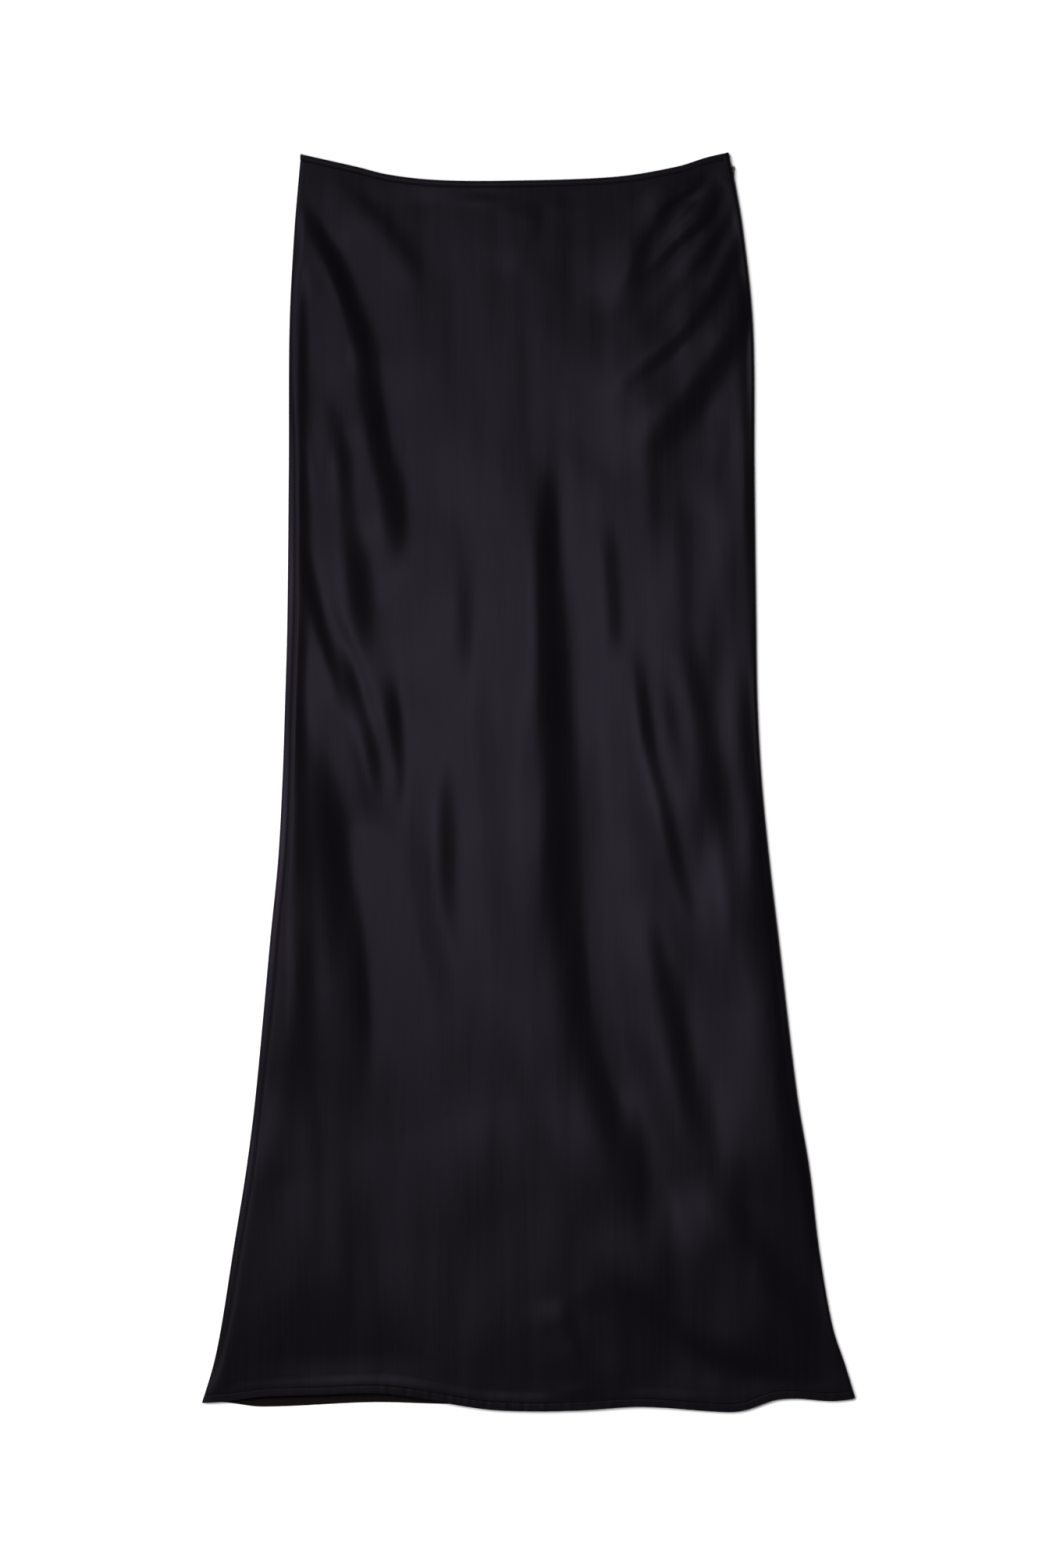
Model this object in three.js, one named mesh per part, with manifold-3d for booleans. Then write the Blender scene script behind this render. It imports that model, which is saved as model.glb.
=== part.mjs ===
/*
 * Satin fishtail maxi skirt, laid flat with its front side up.
 *
 * Millimetres. X runs across the skirt, +Y towards the waist, +Z up from the surface that the
 * skirt lies on. The origin is under the middle of the whole object.
 *
 * The skirt is a tube of two panels, front and back, joined at side seams that lie at the edges of
 * the outline. Each panel is a wall of cloth round a middle surface. That surface is worked out
 * from a table of side edges, a curve for the waist, a curve for the hem and a short list of folds.
 * A narrow binding closes the waist edge, the hems are turned up inside, and a concealed zip sits
 * in the right-hand seam with its slider's bridge and pull tab outside.
 */
import * as THREE from "three";
import Module from "manifold-3d";
import { mergeVertices } from "three/addons/utils/BufferGeometryUtils.js";

const wasm = await Module();
wasm.setup();

// Cloth and layers.
const WALL = 1.0;
const GAP = 0.3;
const HALF_WALL = WALL / 2;
const LENGTH = 1022.8;
const SEAM_HEIGHT = 3.3; // of the side seams above the surface
const SIDE_HEIGHT = 6.0; // of the front panel's middle surface, beside its seams
const MIDDLE_HEIGHT = 5.2; // and over its middle, where no fold lifts or sinks it
const HEM_FALL = 0.9; // from the knees to the hem
const HEM_FALL_FROM = 620;
const EDGE_ROLL = 5.0; // how far in from the outline the cloth rolls over at each side
const ROLL_SHARE = 0.03; // the roll's share of each panel's girth coordinate, at each side

// The front's middle surface never sinks below the first of these, and keeps above what lies
// between the panels: the bindings at the waist, the turned-up hems and the zip.
const LOWEST = { front: 2.0, overBinding: 1.3, overHem: 2.7, overZip: 2.3 };
const NEAR = { binding: [8, 30], hem: [12, 42], zip: [22, 40], side: [5, 27], loft: [5, 55] };
const SOFT_STOP = 0.6; // how softly the front comes down to its lowest

// Waist binding and hems.
const BINDING_WIDTH = 4.6;
const BINDING_PROUD = 0.3;
const BINDING_THICK = 1.8;
const HEM_WIDTH = 8.0;
const HEM_SET_BACK = 0.4;

// Concealed zip, in the right-hand seam.
const ZIP_TOP = 13.5; // from the waist's corner down to the middle of the slider
const ZIP_LENGTH = 190;
const ZIP_ENDS = [225, 280]; // levels between which the front comes down from over the zip
const TAPE_WIDTH = 9;
const TAPE_SPARE = 8; // of the tape below the chain
const TAPE_THICK = 0.8;
const CHAIN_INSET = [2.6, 5.2];
const CHAIN_THICK = 1.5;
const CHAIN_START = 1.3; // below the slider
const CHAIN_STEPS = 12; // along its bend
const SLIDER = { length: 7, width: 2.4, inset: [2.4, 4.9] };
const NECK = { length: 3.4, thick: 0.9, parting: 0.95, reach: 7, overlap: 0.5 };
const BRIDGE = { foot: 0.3, length: 4.4, height: 2.0, eyeLength: 2.2, eyeHeight: 1.0 };
const TAB = {
  pin: 0.35, // radius
  arm: 0.8,
  armGap: 0.25,
  plateStart: 2.6,
  length: 15,
  width: 4.0,
  narrow: 0.68, // of its width, beside the arms
  thick: 0.9,
  pinFacets: 12,
  curveFacets: 10,
};
const STOP = { width: 2.4, length: 3.4, thick: 1.6, inset: 3.9, below: 2.3 };
const TAB_ANGLE = THREE.MathUtils.degToRad(10); // the seam's slant beside the tab
const TAB_OFFSET = 1.25; // of the tab's pin outside the outline

// The outline's two side edges, seen from above: distances from the centre line at each level.
const SIDES = [
  { down: 0, left: -185.3, right: 161.2 },
  { down: 22, left: -187.4, right: 166.4 },
  { down: 66, left: -191.0, right: 173.8 },
  { down: 142, left: -194.8, right: 181.6 },
  { down: 256, left: -195.4, right: 182.8 },
  { down: 383, left: -196.6, right: 184.2 },
  { down: 447, left: -198.4, right: 185.2 },
  { down: 510, left: -200.5, right: 188.6 },
  { down: 574, left: -204.0, right: 194.8 },
  { down: 637, left: -210.2, right: 202.2 },
  { down: 764, left: -222.1, right: 217.2 },
  { down: 827, left: -230.0, right: 227.6 },
  { down: 891, left: -240.3, right: 235.2 },
  { down: 954, left: -250.2, right: 246.2 },
  { down: 985, left: -256.6, right: 256.4 },
  { down: 1016, left: -265.9, right: 265.9 },
];

// The waist edge: how far it dips below the higher corner, across the width from left to right.
const WAIST = [
  { across: 0, down: 1.3 },
  { across: 0.137, down: 12.1 },
  { across: 0.209, down: 18.4 },
  { across: 0.318, down: 22.8 },
  { across: 0.477, down: 23.4 },
  { across: 0.722, down: 20.3 },
  { across: 0.867, down: 12.1 },
  { across: 0.942, down: 4.4 },
  { across: 1, down: 0 },
];

// The hem edges, which wave because the flare's fullness is laid flat.
const FRONT_HEM = [
  { across: 0, down: 1015.8 },
  { across: 0.043, down: 1014.4 },
  { across: 0.1, down: 1010.4 },
  { across: 0.18, down: 1008.9 },
  { across: 0.264, down: 1007.4 },
  { across: 0.313, down: 1009.8 },
  { across: 0.431, down: 1020.3 },
  { across: 0.502, down: 1022.2 },
  { across: 0.574, down: 1021.5 },
  { across: 0.669, down: 1018.6 },
  { across: 0.789, down: 1022.8 },
  { across: 0.82, down: 1021.8 },
  { across: 0.866, down: 1013.6 },
  { across: 0.9, down: 1012 },
  { across: 0.955, down: 1014 },
  { across: 1, down: 1011.4 },
];
const BACK_HEM = [
  { across: 0, down: 1015.8 },
  { across: 0.043, down: 1015.6 },
  { across: 0.1, down: 1019 },
  { across: 0.264, down: 1015.4 },
  { across: 0.36, down: 1016.6 },
  { across: 0.5, down: 1018 },
  { across: 0.8, down: 1016 },
  { across: 0.9, down: 1008 },
  { across: 1, down: 1011.4 },
];

/*
 * The largest folds of the front. Each runs along its line, which starts at the waist end. The
 * cloth drops from a crest on the line's left to a trough on its right, about a half width to each
 * side, and fades out past them. [x, down] points are from the centre line and the waist's corner.
 */
const FOLDS = [
  { name: "centre", half: 18, drop: 4.6, line: [[15, 230], [17, 380], [31, 620], [74, 830], [120, 930]] },
  { name: "left waist", half: 8, drop: 3.6, line: [[-187, 34], [-160, 88], [-136, 152], [-138, 222]] },
  { name: "left hip", half: 14, drop: 3.8, line: [[-134, 165], [-120, 240], [-107, 320], [-104, 370]] },
  { name: "left thigh", half: 12, drop: 3.2, line: [[-166, 185], [-149, 265], [-140, 360], [-130, 410]] },
  { name: "left edge", half: 8, drop: 2.0, line: [[-186, 300], [-172, 381], [-148, 478], [-138, 520]] },
  { name: "left knee", half: 22, drop: 5.0, line: [[-184, 440], [-164, 530], [-145, 639], [-120, 830]] },
  { name: "above knee", half: 9, drop: 2.2, line: [[-117, 418], [-106, 489], [-108, 570]] },
  { name: "left flare", half: 12, drop: 2.0, line: [[-186, 600], [-183, 713], [-176, 840]] },
  { name: "right waist", half: 8, drop: 3.0, line: [[160, 20], [144, 54], [112, 82], [66, 136]] },
  { name: "right hip", half: 10, drop: 3.4, line: [[173, 58], [153, 110], [94, 178], [54, 214]] },
  { name: "right side", half: 16, drop: 4.4, line: [[184, 100], [150, 176], [100, 240], [66, 270]] },
  { name: "right thigh", half: 9, drop: 2.6, line: [[82, 385], [100, 491], [143, 690]] },
  { name: "right knee", half: 12, drop: 2.2, line: [[127, 380], [142, 465], [149, 600]] },
  { name: "right flare", half: 13, drop: 3.0, line: [[98, 570], [114, 690], [150, 850]] },
  { name: "right edge", half: 18, drop: 4.4, line: [[173, 400], [194, 565], [216, 759], [262, 990]] },
  { name: "inner flare", half: 12, drop: 2.4, line: [[-72, 470], [-68, 587], [-56, 700]] },
  { name: "hem corner", half: 20, drop: 3.4, line: [[150, 820], [192, 900], [256, 998]] },
];
const FOLD_LIFT = 0.3; // how much of its drop a fold stands up by
const FOLD_STEEP = 1.3; // how quickly it drops across its line
const FOLD_SPREAD = 3; // half widths over which the cloth beside it makes up for the drop
const FOLD_ENDS = { grows: 0.3, fades: 0.6 }; // shares of its line
const CALM = { atHem: 0.6, hem: [4, 18], waist: 24 }; // folds weaken close to the hem and waist

// The front hem stands a little clear of the back hem on the left, where the tube's mouth shows.
const MOUTH = { across: 0.21, halfSpan: 0.17, full: 0.35, lift: 1.6, depth: 34 };

// Grid lines for the faceted walls. The first rows are TOP_STEP apart, and the last ones one hem's
// width.
const TOP_STEP = 8;
const GRIDS = {
  front: { roll: 4, middle: 38, topRows: 2, rows: 31, hemRows: 2 },
  back: { roll: 3, middle: 5, topRows: 2, rows: 31, hemRows: 2 },
};

const smoothstep = (a, b, x) => THREE.MathUtils.smoothstep(x, a, b);
const lerp = THREE.MathUtils.lerp;

/** A smooth curve through a table's rows: cubic pieces whose slopes follow the neighbouring rows. */
function along(table, key, value, x) {
  let i = 0;
  while (i < table.length - 2 && x > table[i + 1][key]) i++;
  const slope = (k) => {
    const a = table[Math.max(k - 1, 0)];
    const b = table[Math.min(k + 1, table.length - 1)];
    return (b[value] - a[value]) / (b[key] - a[key]);
  };
  const [p, q] = [table[i], table[i + 1]];
  const span = q[key] - p[key];
  const t = THREE.MathUtils.clamp((x - p[key]) / span, 0, 1);
  const [t2, t3] = [t * t, t * t * t];
  return (
    (2 * t3 - 3 * t2 + 1) * p[value] +
    (t3 - 2 * t2 + t) * span * slope(i) +
    (3 * t2 - 2 * t3) * q[value] +
    (t3 - t2) * span * slope(i + 1)
  );
}

const leftEdge = (down) => along(SIDES, "down", "left", down);
const rightEdge = (down) => along(SIDES, "down", "right", down);
const waistDown = (across) => along(WAIST, "across", "down", across);

/** Where (x, down) lies beside a fold's line: its share along the line and its distance to the right. */
function beside(line, x, down) {
  let best = { distance: Infinity };
  let before = 0;
  const lengths = line.slice(1).map((q, i) => Math.hypot(q[0] - line[i][0], q[1] - line[i][1]));
  const total = lengths.reduce((a, b) => a + b, 0);
  for (let i = 0; i < lengths.length; i++) {
    const [ax, ay] = line[i];
    const dx = (line[i + 1][0] - ax) / lengths[i];
    const dy = (line[i + 1][1] - ay) / lengths[i];
    const run = (x - ax) * dx + (down - ay) * dy;
    const held = THREE.MathUtils.clamp(run, 0, lengths[i]);
    const [gx, gy] = [x - ax - held * dx, down - ay - held * dy];
    const distance = Math.hypot(gx, gy);
    if (distance < best.distance) {
      const right = gx * dy - gy * dx;
      best = { distance, right: Math.sign(right) * distance, share: (before + held) / total };
    }
    before += lengths[i];
  }
  return best;
}

/** A fold's height: a smooth step down across its line that both sides slowly make up for. */
function foldHeight(fold, x, down) {
  const { right, share } = beside(fold.line, x, down);
  const s = right / fold.half;
  const taper = smoothstep(0, FOLD_ENDS.grows, share) * (1 - smoothstep(FOLD_ENDS.fades, 1, share));
  const reach = s / FOLD_SPREAD;
  return fold.drop * taper * (FOLD_LIFT - Math.tanh(FOLD_STEEP * s)) * Math.exp(-reach * reach);
}

/** 1 up to the first distance of a pair and 0 from the second. */
const within = ([near, far], distance) => 1 - smoothstep(near, far, distance);

/** The front's height: its loft at the sides, its folds and the lifted hem, and never into the back. */
function frontHeight(x, down, across, inset) {
  const clear = 1 - within(NEAR.side, inset);
  const fall = HEM_FALL * smoothstep(HEM_FALL_FROM, LENGTH, down);
  const loft = lerp(MIDDLE_HEIGHT, SIDE_HEIGHT, within(NEAR.loft, inset)) - fall;
  const folds = FOLDS.reduce((sum, fold) => sum + foldHeight(fold, x, down), 0);
  const toHem = along(FRONT_HEM, "across", "down", across) - down;
  const fromWaist = down - waistDown(across);
  const beyond = Math.abs(across - MOUTH.across) / MOUTH.halfSpan;
  const lift = MOUTH.lift * within([MOUTH.full, 1], beyond) * within([0, MOUTH.depth], toHem);
  const calm = (1 - CALM.atHem * within(CALM.hem, toHem)) * smoothstep(0, CALM.waist, fromWaist);
  const atBinding = LOWEST.overBinding * within(NEAR.binding, fromWaist);
  const atHem = LOWEST.overHem * within(NEAR.hem, toHem);
  const zipSide = across > 0.5 ? within(NEAR.zip, inset) : 0;
  const atZip = LOWEST.overZip * zipSide * within(ZIP_ENDS, down);
  const lowest = LOWEST.front + Math.max(atBinding, atHem, atZip);
  const above = loft + clear * (folds * calm + lift) - lowest;
  return lowest + SOFT_STOP * Math.log1p(Math.exp(above / SOFT_STOP));
}

/** Half the gap between the two panels' edges at a side seam. The slider's neck parts the right one. */
function seamHalfGap(c, down) {
  const near = (down - ZIP_TOP) / NECK.reach;
  return GAP / 2 + (c > 0 ? (NECK.parting - GAP / 2) * Math.exp(-near * near) : 0);
}

/**
 * A panel's middle surface. c runs round the half tube from the left seam, -1, to the right, 1, and
 * down is the level below the waist's corner. The cloth rolls over in a quarter ellipse at each end.
 */
function clothPoint(side, c, down) {
  const across = (c + 1) / 2;
  const [xl, xr] = [leftEdge(down) + HALF_WALL, rightEdge(down) - HALF_WALL];
  const end = 1 - Math.abs(c);
  const toSeam = Math.min(end / ROLL_SHARE, 1) * (Math.PI / 2);
  const inset = EDGE_ROLL * (1 - Math.cos(toSeam));
  const middle = 1 - ROLL_SHARE;
  const t = (THREE.MathUtils.clamp(c, -middle, middle) / middle + 1) / 2;
  let x = lerp(xl + EDGE_ROLL, xr - EDGE_ROLL, t);
  if (end < ROLL_SHARE) x = c < 0 ? xl + inset : xr - inset;
  const flat = side === "front" ? frontHeight(x, down, across, Math.min(x - xl, xr - x)) : HALF_WALL;
  const gap = seamHalfGap(c, down) * (side === "front" ? 1 : -1);
  const z = lerp(SEAM_HEIGHT + gap, flat, Math.sin(toSeam));
  return new THREE.Vector3(x, LENGTH / 2 - down, z);
}

/** The outward normal of a panel at (c, down), from small steps round and down it. */
const SMALL_STEPS = [1e-4, 0.05];
function clothNormal(side, c, down) {
  const [dc, dd] = SMALL_STEPS;
  const [a, b] = [Math.max(c - dc, -1), Math.min(c + dc, 1)];
  const round = clothPoint(side, b, down).sub(clothPoint(side, a, down));
  const along_ = clothPoint(side, c, down + dd).sub(clothPoint(side, c, down - dd));
  const n = side === "front" ? along_.cross(round) : round.cross(along_);
  return n.normalize();
}

/**
 * A closed wall on a grid of points: grid[j][i] holds the point and its outward normal. The wall
 * reaches `outer` along the normal and `inner` against it, with a rim all round.
 */
function wall(grid, outer, inner, flip) {
  const rows = grid.length;
  const cols = grid[0].length;
  const positions = [];
  for (const reach of [outer, -inner])
    for (const { p, n } of grid.flat()) positions.push(...p.clone().addScaledVector(n, reach).toArray());
  const id = (layer, j, i) => layer * rows * cols + j * cols + i;
  const faces = [];
  const quad = (a, b, c, d) => faces.push(...(flip ? [a, c, b, a, d, c] : [a, b, c, a, c, d]));
  for (let j = 0; j < rows - 1; j++)
    for (let i = 0; i < cols - 1; i++) {
      quad(id(0, j, i), id(0, j + 1, i), id(0, j + 1, i + 1), id(0, j, i + 1));
      quad(id(1, j, i), id(1, j, i + 1), id(1, j + 1, i + 1), id(1, j + 1, i));
    }
  for (let i = 0; i < cols - 1; i++) {
    quad(id(0, 0, i), id(0, 0, i + 1), id(1, 0, i + 1), id(1, 0, i));
    quad(id(0, rows - 1, i + 1), id(0, rows - 1, i), id(1, rows - 1, i), id(1, rows - 1, i + 1));
  }
  for (let j = 0; j < rows - 1; j++) {
    quad(id(0, j + 1, 0), id(0, j, 0), id(1, j, 0), id(1, j + 1, 0));
    quad(id(0, j, cols - 1), id(0, j + 1, cols - 1), id(1, j + 1, cols - 1), id(1, j, cols - 1));
  }
  const geometry = new THREE.BufferGeometry();
  geometry.setAttribute("position", new THREE.Float32BufferAttribute(positions, 3));
  geometry.setIndex(faces);
  geometry.computeVertexNormals();
  return geometry;
}

/** Girth coordinates: a few steps round each side's roll and even steps between them. */
function girthSteps({ roll, middle }) {
  const steps = [];
  for (let i = 0; i < roll; i++) steps.push(-1 + (ROLL_SHARE * i) / roll);
  for (let i = 0; i <= middle; i++) steps.push(lerp(-1 + ROLL_SHARE, 1 - ROLL_SHARE, i / middle));
  for (let i = roll - 1; i >= 0; i--) steps.push(1 - (ROLL_SHARE * i) / roll);
  return steps;
}

const evenly = (n) => Array.from({ length: n + 1 }, (_, i) => i / n);
const isBack = (side) => side === "back";
const hemDown = (side, c) => along(side === "front" ? FRONT_HEM : BACK_HEM, "across", "down", (c + 1) / 2);
const clothAt = (side, c, down) => ({ p: clothPoint(side, c, down), n: clothNormal(side, c, down) });

/** A panel's grid of points and normals, in rows from below its binding to its hem. */
function panelGrid(side) {
  const { topRows, rows, hemRows } = GRIDS[side];
  const down = (c, j) => {
    const top = waistDown((c + 1) / 2) + BINDING_WIDTH + GAP;
    if (j < topRows) return top + TOP_STEP * j;
    const share = Math.min((j - topRows) / rows, 1);
    const last = hemDown(side, c) - HEM_WIDTH * hemRows;
    return lerp(top + TOP_STEP * topRows, last, share) + HEM_WIDTH * Math.max(j - topRows - rows, 0);
  };
  const lines = evenly(topRows + rows + hemRows).map((_, j) => j);
  return lines.map((j) => girthSteps(GRIDS[side]).map((c) => clothAt(side, c, down(c, j))));
}
const panels = { front: panelGrid("front"), back: panelGrid("back") };

/** The place a share of the way from one grid point to another, so that it lies on the same facets. */
const between = (a, b, share) => ({ p: a.p.clone().lerp(b.p, share), n: a.n.clone().lerp(b.n, share) });

function panel(side) {
  return wall(panels[side], HALF_WALL, HALF_WALL, isBack(side));
}

/** The binding at the waist edge: a folded strip, thicker than the panel, in line with it. */
function waistBinding(side) {
  const cells = [0, BINDING_WIDTH].map((below) =>
    girthSteps(GRIDS[side]).map((c) => clothAt(side, c, waistDown((c + 1) / 2) + below)),
  );
  const outer = HALF_WALL + (isBack(side) ? 0 : BINDING_PROUD);
  return wall(cells, outer, BINDING_THICK - outer, isBack(side));
}

/** The turned-up hem, against the inside of its panel's last row, clear of the rolled sides. */
function hemTurnUp(side) {
  const [above, hem] = panels[side].slice(-2).map((row) => row.slice(GRIDS[side].roll, -GRIDS[side].roll));
  const setBack = 1 - HEM_SET_BACK / HEM_WIDTH;
  const cells = [above, above.map((a, i) => between(a, hem[i], setBack))];
  return wall(cells, -(HALF_WALL + GAP), HALF_WALL + GAP + WALL, isBack(side));
}

/** A zip tape against the inside of its panel, beside the right-hand seam. */
function zipTape(side) {
  const seam = -1 - GRIDS[side].roll;
  const low = LENGTH / 2 - ZIP_TOP - ZIP_LENGTH - TAPE_SPARE;
  const rows = panels[side].filter((row) => row.at(seam).p.y > low);
  const cells = rows.map((row) => {
    const [inner, outer] = [row.at(seam - 1), row.at(seam)];
    const share = TAPE_WIDTH / (outer.p.x - inner.p.x);
    return [between(outer, inner, share), outer];
  });
  return wall(cells, -(HALF_WALL + GAP), HALF_WALL + GAP + TAPE_THICK, isBack(side));
}

/** A point inside the right-hand seam, at an inset from the outline. */
const besideSeam = (down, inset, z) => new THREE.Vector3(rightEdge(down) - inset, LENGTH / 2 - down, z);

/** The closed chain of coils, a plain bar that follows the seam inside the tube. */
function zipChain() {
  const up = new THREE.Vector3(0, 0, 1);
  const cells = evenly(CHAIN_STEPS).map((share) => {
    const down = lerp(ZIP_TOP + SLIDER.length / 2 + CHAIN_START, ZIP_TOP + ZIP_LENGTH, share);
    return [...CHAIN_INSET].reverse().map((inset) => ({ p: besideSeam(down, inset, SEAM_HEIGHT), n: up }));
  });
  return wall(cells, CHAIN_THICK / 2, CHAIN_THICK / 2, false);
}

/** A three.js geometry as a manifold solid, and back. */
const WELD = 1e-4; // points closer than this are one
function solid(geometry) {
  const bare = geometry.index ? geometry.toNonIndexed() : geometry.clone();
  bare.deleteAttribute("normal");
  bare.deleteAttribute("uv");
  const merged = mergeVertices(bare, WELD);
  const { array: vertProperties } = merged.attributes.position;
  const triVerts = new Uint32Array(merged.index.array);
  return new wasm.Manifold(new wasm.Mesh({ numProp: 3, vertProperties, triVerts }));
}
function geometryOf(made) {
  const mesh = made.getMesh();
  const geometry = new THREE.BufferGeometry();
  geometry.setAttribute("position", new THREE.BufferAttribute(new Float32Array(mesh.vertProperties), 3));
  geometry.setIndex(new THREE.BufferAttribute(new Uint32Array(mesh.triVerts), 1));
  geometry.computeVertexNormals();
  return geometry;
}

/** A box between two corners, in the zip's own frame. */
function boxBetween(low, high) {
  const size = high.map((h, i) => h - low[i]);
  const middle = high.map((h, i) => (h + low[i]) / 2);
  return solid(new THREE.BoxGeometry(...size).translate(...middle));
}

/** A plate with a rounded outline in the Y-Z plane, `thick` along X about x = 0. */
function roundedPlate(y0, y1, halfWidth, radius, thick) {
  const shape = new THREE.Shape();
  shape.moveTo(y0, -halfWidth * TAB.narrow);
  shape.lineTo(y0, halfWidth * TAB.narrow);
  shape.lineTo(y1 + radius, halfWidth);
  shape.absarc(y1 + radius, 0, halfWidth, Math.PI / 2, (3 * Math.PI) / 2, false);
  shape.lineTo(y0, -halfWidth * TAB.narrow);
  const cut = { depth: thick, bevelEnabled: false, curveSegments: TAB.curveFacets };
  const extruded = new THREE.ExtrudeGeometry(shape, cut);
  extruded.translate(0, 0, -thick / 2);
  // The shape's x is along the tab and its y across it: turn them to Y and Z.
  extruded.applyMatrix4(new THREE.Matrix4().set(0, 0, 1, 0, 1, 0, 0, 0, 0, 1, 0, 0, 0, 0, 0, 1));
  return solid(extruded);
}

/**
 * The slider, in a frame at the outline: x outwards, y along the seam towards the waist, z up from
 * the seam. Its body lies inside the tube, its neck passes between the two panels, and its bridge
 * stands outside with an eye for the pull tab's pin.
 */
function zipSlider() {
  const half = SLIDER.length / 2;
  const [near, far] = SLIDER.inset;
  const body = boxBetween([-far, -half, -SLIDER.width / 2], [-near, half, SLIDER.width / 2]);
  const halfNeck = NECK.thick / 2;
  const neck = boxBetween(
    [-near - NECK.overlap, -NECK.length / 2, -halfNeck],
    [NECK.overlap, NECK.length / 2, halfNeck],
  );
  const bridge = boxBetween(
    [BRIDGE.foot, -BRIDGE.length / 2, -halfNeck],
    [BRIDGE.foot + BRIDGE.height, BRIDGE.length / 2, halfNeck],
  );
  const eye = boxBetween(
    [TAB_OFFSET - BRIDGE.eyeHeight / 2, -BRIDGE.eyeLength / 2, -NECK.thick],
    [TAB_OFFSET + BRIDGE.eyeHeight / 2, BRIDGE.eyeLength / 2, NECK.thick],
  );
  return geometryOf(body.add(neck).add(bridge).subtract(eye));
}

/** The pull tab, in a frame at its pin: y along the seam towards the waist, so it hangs along -y. */
function pullTab() {
  const inner = NECK.thick / 2 + TAB.armGap;
  const outer = inner + TAB.arm;
  const pin = solid(new THREE.CylinderGeometry(TAB.pin, TAB.pin, 2 * outer, TAB.pinFacets));
  const across = pin.rotate([90, 0, 0]);
  const halfThick = TAB.thick / 2;
  const arms = [1, -1].map((s) =>
    boxBetween(
      [-halfThick, -TAB.plateStart - TAB.pin, Math.min(s * inner, s * outer)],
      [halfThick, halfThick, Math.max(s * inner, s * outer)],
    ),
  );
  const plate = roundedPlate(-TAB.plateStart, -TAB.length, TAB.width / 2, TAB.width / 2, TAB.thick);
  return geometryOf(plate.add(arms[0]).add(arms[1]).add(across));
}

const satin = { color: 0x17151a, roughness: 0.42, metalness: 0 };
const nylon = { color: 0x101012, roughness: 0.6, metalness: 0 };
const enamel = { color: 0x0e0e10, roughness: 0.3, metalness: 0.4 };

const skirt = new THREE.Group();
function add(parent, name, geometry, look) {
  const mesh = new THREE.Mesh(geometry, new THREE.MeshStandardMaterial(look));
  mesh.name = name;
  parent.add(mesh);
  return mesh;
}

for (const side of ["front", "back"]) {
  add(skirt, side + "_panel", panel(side), satin);
  add(skirt, side + "_waist_binding", waistBinding(side), satin);
  add(skirt, side + "_hem_turn_up", hemTurnUp(side), satin);
  add(skirt, "zip_tape_" + side, zipTape(side), nylon);
}
add(skirt, "zip_chain", zipChain(), nylon);

const stopAt = besideSeam(ZIP_TOP + ZIP_LENGTH + STOP.below, STOP.inset, SEAM_HEIGHT);
const stop = new THREE.BoxGeometry(STOP.width, STOP.length, STOP.thick);
add(skirt, "zip_bottom_stop", stop, enamel).position.copy(stopAt);

// The slider and its tab stand in one frame at the outline, turned to the seam's slant.
const zipHead = new THREE.Group();
zipHead.position.copy(besideSeam(ZIP_TOP, 0, SEAM_HEIGHT));
zipHead.rotation.z = TAB_ANGLE;
skirt.add(zipHead);
add(zipHead, "zip_slider", zipSlider(), enamel);
add(zipHead, "zip_pull_tab", pullTab(), enamel).position.set(TAB_OFFSET, 0, 0);

// The origin goes under the middle of the whole object.
const box = new THREE.Box3().setFromObject(skirt, true);
const centre = box.getCenter(new THREE.Vector3());
skirt.position.set(-centre.x, -centre.y, -box.min.z);

export default skirt;
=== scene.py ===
"""Satin fishtail maxi skirt, laid flat with its front side up.

The cloth is made of thin shells that follow the frame's walls: a front and a back panel, a narrow
waist band, and turned-up hems with their stitches. Lengths in the tables are millimetres. Places on
the skirt are (x, down): x from the centre line to the right, down from the higher waist corner.
"""

import math

import bmesh
import bpy
import numpy as np
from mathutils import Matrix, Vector


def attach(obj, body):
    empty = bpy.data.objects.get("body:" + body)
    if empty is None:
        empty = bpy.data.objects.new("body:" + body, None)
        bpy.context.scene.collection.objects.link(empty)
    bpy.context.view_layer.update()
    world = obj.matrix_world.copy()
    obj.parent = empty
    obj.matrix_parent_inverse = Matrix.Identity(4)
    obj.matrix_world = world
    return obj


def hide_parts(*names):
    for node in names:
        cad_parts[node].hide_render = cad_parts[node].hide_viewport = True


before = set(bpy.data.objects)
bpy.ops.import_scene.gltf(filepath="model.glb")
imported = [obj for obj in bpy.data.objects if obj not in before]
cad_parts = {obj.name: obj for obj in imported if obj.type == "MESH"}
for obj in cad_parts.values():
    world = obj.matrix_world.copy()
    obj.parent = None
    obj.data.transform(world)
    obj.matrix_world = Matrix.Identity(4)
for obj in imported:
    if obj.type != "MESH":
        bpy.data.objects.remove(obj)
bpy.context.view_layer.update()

MM = 0.001
SHIFT = (0.67, -0.05)  # from the centre line and middle level to the frame's origin
LENGTH = 1022.8
HALF_WALL = 0.5  # of the frame's cloth
CLOTH = 0.42  # of the satin itself
SEAM_HEIGHT = 3.3
SEAM_GAP = 0.06
SIDE_HEIGHT = 6.0
MIDDLE_HEIGHT = 6.4
HEM_WELT = 1.0  # the doubled hem lifts the cloth above its stitches, mostly where it was pressed less
HEM_FALL = 1.6  # from the knees to the hem
HEM_FALL_SPAN = (620, 1020)
EDGE_ROLL = 2.3  # how far in the cloth has rolled over from its seam
ROLL_SHARE = 0.03  # of the half girth that the roll takes
# How low the front can come, and how much less low it can come over what lies under it.
LOWEST = {"front": 2.0, "over_band": 1.3, "over_hem": 2.7, "over_zip": 2.3}
SOFT_STOP = 0.6  # over which the front comes to rest on its lowest level

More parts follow.
